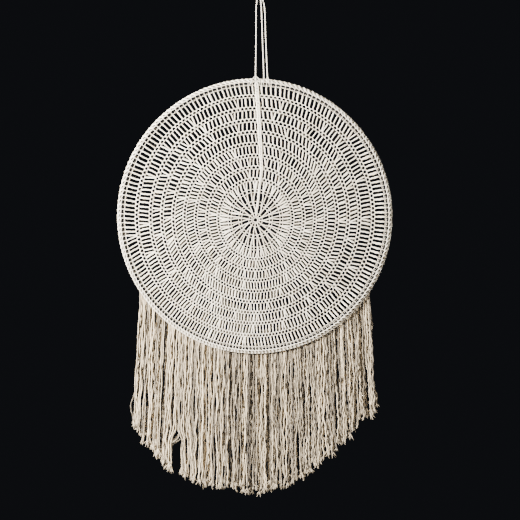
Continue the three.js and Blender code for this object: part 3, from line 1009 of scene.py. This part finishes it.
def lock_piece(number):
    """One lock of strands, from the back of the rim, free below its hinge and frayed at the ends."""
    rng = np.random.default_rng(LOCK_SEED + number)
    left, right = knot_sides(number)
    middle = (left + right) / 2
    count = round((right - left + STRAND_ROOM) / STRAND_SPACING)
    x = mix(left, right, (np.arange(count) + 0.5) / count)
    x = (x + rng.normal(0, STRAND_SPREAD, count))[:, None]
    order = np.argsort(x[:, 0])
    beside = order[np.minimum(np.arange(count) ^ 1, count - 1)]
    pair_middle = x.copy()
    pair_middle[order] = (x[order] + x[beside]) / 2
    side = (np.arange(count) + (rng.random(count) < LAYER_SWAPS)) % 2
    layer = np.array(LAYERS)[side][:, None] + rng.normal(0, LAYER_SPREAD, (count, 1))
    top = -wire_rise(x)
    inward = unit(np.stack([-x, 0 * x, -top], -1))[:, 0]
    wire = np.concatenate([x, 0 * x, top], 1)
    back = np.array([0.0, 1.0, 0.0])
    hook_reach = EDGING_RADIUS + STRAND_RADIUS + HOOK_GAP
    hook = []
    for bend in map(math.radians, HOOK_ANGLES):
        hook.append(wire + hook_reach * (math.cos(bend) * inward + math.sin(bend) * back))

    end = mix(strand_end(x), strand_end(middle), LOCK_STEP)
    end = end + rng.normal(0, LOCK_ENDS) + rng.normal(0, STRAND_ENDS, x.shape)
    if number == NOTCH_LOCK:
        swept = np.argsort(np.where(x[:, 0] > NOTCH_X, x[:, 0], np.inf))[:len(SWEPT_STEPS)]
        end[swept] += SWEPT_TRIM
    share = np.linspace(STRAND_FROM, 1, STRAND_RINGS)[None]
    depth = share * (top - end)
    height = top - depth
    lean = np.tan(np.radians(STRAND_LEAN * x / FRINGE_HALF_WIDTH))
    gather = rng.uniform(*GATHER) * (middle + rng.normal(0, GATHER_SPREAD) - x)
    fine = wave(rng, depth, *FINE_WAVES)
    sway = wave(rng, depth, *SWAY_WAVES)
    broad = wave(rng, depth, *BROAD_WAVES)
    wavy = 1 + WAVY_RIGHT * smooth(*WAVY_FROM, x) * smooth(*WAVY_BELOW, share)
    loose = smooth(*WAVES_FROM, depth)
    pairs = PAIR_PULL * (1 - smooth(*PAIR_PART, depth)) * (pair_middle - x)
    across = x + pairs + lean * depth + share ** 2 * gather + loose * (wavy * fine + sway) + share * broad
    across = across + smooth(BUNDLE_FROM, 1.0, share) * bundle_pull(number, x)
    away = np.sign(x - NOTCH_X) * np.exp(-np.abs(x - NOTCH_X) / NOTCH_REACH)
    across = across + NOTCH_HALF * away * smooth(NOTCH_FROM, NOTCH_TO, height)
    swing = wave(rng, depth, *SWING_WAVES) + wave(rng, depth, *SWING_BROAD_WAVES)
    behind = mix(hook_reach, layer, smooth(*LAYER_FROM, depth)) + loose * swing
    if number == NOTCH_LOCK:
        start = SWEPT_FROM + np.array(SWEPT_STEPS)[:, None]
        fall = smooth(start, start - np.array(SWEPT_DROPS)[:, None], height[swept])
        across[swept] -= SWEPT_ASIDE * fall
        behind[swept] += SWEPT_BEHIND * fall
    if number == BOW_LOCK:
        outer = np.argmin(x[:, 0])
        across[outer] -= BOW_OUT * hump(height[outer], BOW_AT, BOW_SPAN)
    free = np.stack(np.broadcast_arrays(across, behind, height), -1)
    paths = np.concatenate([np.stack(hook, 1), free], 1)
    thick = STRAND_RADIUS * rng.uniform(*STRAND_RADII, (count, 1))
    tone = rng.uniform(*STRAND_TONES, (count, 1))
    batches = [
        sweep(paths, thick, sides=STRAND_SIDES, tone=tone, ply=STRAND_PLY),
        tufts(rng, paths[:, -1], paths[:, -2]),
    ]
    piece = yarn_piece(f"fringe_strands_{number:02d}", batches, FRINGE_COTTON)
    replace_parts(piece, f"fringe_lock_{number:02d}")
    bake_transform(piece)


def tie_piece(number):
    """Cow hitches that tie one lock's strands to the rim, seen from the back."""
    rng = np.random.default_rng(TIE_SEED + number)
    left, right = knot_sides(number)
    count = max(2, round((right - left) / TIE_SPACING))
    x = mix(left, right, (np.arange(count) + 0.5) / count)[:, None]
    angle = np.arctan2(-wire_rise(x), x)
    turn = full_turn(TIE_RINGS)[None]
    section = math.radians(TIE_SECTION) + rng.normal(0, TIE_SPREAD, x.shape) + TIE_TALL * np.sin(turn)
    lift = EDGING_RADIUS + TIE_LIFT + TIE_WAVE * np.cos(2 * turn)
    loops = on_rim(angle, section, lift, TIE_HALF * np.cos(turn))
    batch = sweep(loops, TIE_RADIUS, closed=True, tone=rng.uniform(*TIE_TONES, x.shape))
    piece = yarn_piece(f"fringe_hitches_{number:02d}", [batch], FRINGE_COTTON)
    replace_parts(piece, f"fringe_knot_{number:02d}")
    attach(piece, "hoop")


# Hanger

def cord_piece(name, batches):
    """A piece in the hanger's own cotton."""
    return yarn_piece(name, batches, CORD_COTTON)


def trefoil(centre, size):
    """Path of a pulled overhand knot."""
    t = full_turn(KNOT_STEPS)
    shape = np.stack([np.sin(t) + 2 * np.sin(2 * t), -np.sin(3 * t), np.cos(t) - 2 * np.cos(2 * t)], 1)
    return np.array(centre) + shape * np.array(size) / np.abs(shape).max(0)


def into_knot(direction):
    """The last two points of a cord that goes into the knot, square to its round face."""
    outwards = unit(np.array(direction))
    centre = np.array(KNOT_CENTRE)
    return [centre + outwards * (KNOT_RADIUS + 2 * CORD_DIAMETER), centre + outwards * (KNOT_RADIUS + CORD_GAP)]


def hitch_peak(x):
    """Height of the top of a hitch."""
    return wire_rise(x) + EDGING_RADIUS + HITCH_GAP + CORD_DIAMETER + HITCH_KNOT_HEIGHT / 2


def hitch_loop(x, peak, aside, back_aside, under):
    """A turn of cord from a peak over the rim down into its stitches, in front and behind, and under the wire."""
    turn = full_turn(HITCH_RINGS)
    from_top = np.degrees(np.minimum(turn, 2 * np.pi - turn))
    wire = wire_rise(x)
    low = EDGING_RADIUS + HITCH_REST
    reach = low + (peak - wire - low) * np.exp(-from_top / HITCH_FALL)
    reach = reach - HITCH_SINK * smooth(*HITCH_SINK_AT, from_top)
    spread = np.where(turn < np.pi, aside, back_aside) * (1 - np.exp(-from_top / HITCH_SPREAD))
    spread = spread * (1 - smooth(*HITCH_CLOSE_AT, from_top))
    across = mix(x + spread, under, smooth(*HITCH_UNDER_AT, from_top))
    return np.stack([across, -reach * np.sin(turn), wire + reach * np.cos(turn)], 1)


def hanger(stitches):
    """Two hitches on the rim, three cords, the knot that they meet in, and the eye above it."""
    knot = cord_piece("hanger_overhand_knot", [
        cord_batch(trefoil(KNOT_CENTRE, size), CORD_DIAMETER, True, tone) for size, tone in KNOT_CORDS
    ])
    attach(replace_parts(knot, "hanger_knot"), "hanger")

    rooms = HOOP_RADIUS * np.cos((stitches + following(stitches)) / 2)
    rooms = rooms[np.sin(stitches) > HITCH_ROOMS]
    peaks = {}
    for name, x, loops in HITCHES:
        peak = hitch_peak(x)
        batches = []
        for offset, front, back, shift in loops:
            room = rooms[np.abs(rooms - (x + offset + front)).argmin()]
            path = hitch_loop(x + offset, peak, front, back, room + shift)
            batches.append(cord_batch(path, HITCH_CORD, True, HITCH_TONE))
        hitch = cord_piece(f"rim_hitch_{name}", batches)
        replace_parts(hitch, f"hitch_{name}")
        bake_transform(hitch)
        peaks[name] = peak

    for name, hitch_name, x, gather, direction in CORDS:
        low = np.array([x, 0.0, peaks[hitch_name] + CORD_GAP])
        high = np.array([gather, 0.0, KNOT_CENTRE[2] - CORDS_MEET])
        path = smooth_path([low, (low + high) / 2, high, *into_knot(direction)], CORD_STEP)
        cord = cord_piece(f"hanger_cord_{name}", [cord_batch(path, CORD_DIAMETER)])
        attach(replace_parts(cord, f"cord_{name}"), "cords")

    centre = np.array(KNOT_CENTRE)
    foot_x, foot_z = EYE_FOOT
    route = [
        *into_knot((foot_x, 0.0, foot_z))[::-1],
        centre + (EYE_SIDE, 0, EYE_WIDEST * EYE_HEIGHT),
        centre + (0, 0, EYE_HEIGHT),
        centre + (-EYE_SIDE, 0, EYE_WIDEST * EYE_HEIGHT),
        *into_knot((-foot_x, 0.0, foot_z)),
    ]
    path = smooth_path(route, CORD_STEP)
    eye = cord_piece("hanging_eye_cord", [cord_batch(path, CORD_DIAMETER)])
    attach(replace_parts(eye, "hanger_eye"), "hanger")


# Stage

def camera():
    """Straight on, framed as the photograph is."""
    data = bpy.data.cameras.new("camera")
    data.lens = LENS
    data.sensor_width = SENSOR
    eye = bpy.data.objects.new("camera", data)
    bpy.context.collection.objects.link(eye)
    width = PHOTO_SIDE * PIXEL
    distance = width / 2 / (SENSOR / 2 / LENS)
    across = (PHOTO_SIDE / 2 - HOOP_PIXEL[0]) * PIXEL
    up = (HOOP_PIXEL[1] - PHOTO_SIDE / 2) * PIXEL
    eye.location = row_point((across, -distance, up))
    eye.rotation_euler = (math.pi / 2, 0, 0)
    bpy.context.scene.camera = eye


def area_light(name, place, power, size, colour):
    """A soft square light, aimed at the object and out of the camera's sight."""
    data = bpy.data.lights.new(name, "AREA")
    data.energy = power
    data.size = size
    data.color = colour
    light = bpy.data.objects.new(name, data)
    bpy.context.collection.objects.link(light)
    light.location = row_point(place)
    aim = row_point(LIGHT_AIM) - light.location
    light.rotation_euler = aim.to_track_quat("-Z", "Y").to_euler()
    light.visible_camera = False


def floor():
    """Plain pale floor, well below the fringe."""
    bpy.ops.mesh.primitive_plane_add(size=FLOOR_SIZE * MM, location=row_point(FLOOR_PLACE))
    ground = bpy.context.object
    ground.name = "studio_floor"
    material = bpy.data.materials.new("pale_floor")
    material.use_nodes = True
    nodes = material.node_tree.nodes
    link = material.node_tree.links.new
    shader = nodes["Principled BSDF"]
    shader.inputs["Roughness"].default_value = 0.8
    grain = nodes.new("ShaderNodeTexNoise")
    grain.inputs["Scale"].default_value = 14.0
    ramp = nodes.new("ShaderNodeValToRGB")
    ramp.color_ramp.elements[0].color = (0.66, 0.65, 0.63, 1)
    ramp.color_ramp.elements[1].color = (0.72, 0.71, 0.69, 1)
    link(grain.outputs["Fac"], ramp.inputs["Fac"])
    link(ramp.outputs["Color"], shader.inputs["Base Color"])
    ground.data.materials.append(material)


def studio():
    """Dark behind, with a key light from the left, a weak fill from the right and a light for the back."""
    world = bpy.data.worlds.new("studio")
    world.use_nodes = True
    world.node_tree.nodes["Background"].inputs["Color"].default_value = BACKDROP
    bpy.context.scene.world = world
    for light in LIGHTS:
        area_light(*light)
    floor()


camera()
places = stitch_places()
web_pieces = [web_centre(), web_seam()]
for number, (base, top) in enumerate(places):
    web_pieces.append(web_round(number, base, top))
last_round = np.append(seam_angle(row_radius(LAST_ROUND)), places[LAST_ROUND][1])
hanger(last_round)
for piece in web_pieces:
    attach(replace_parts(piece, "crochet_web"), "hoop")
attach(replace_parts(rim_wraps(last_round), "rim_edging"), "hoop")
for lock in range(1, LOCKS + 1):
    tie_piece(lock)
    lock_piece(lock)
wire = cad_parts["hoop_ring"]
wire.data.materials.clear()
wire.data.materials.append(steel())
studio()
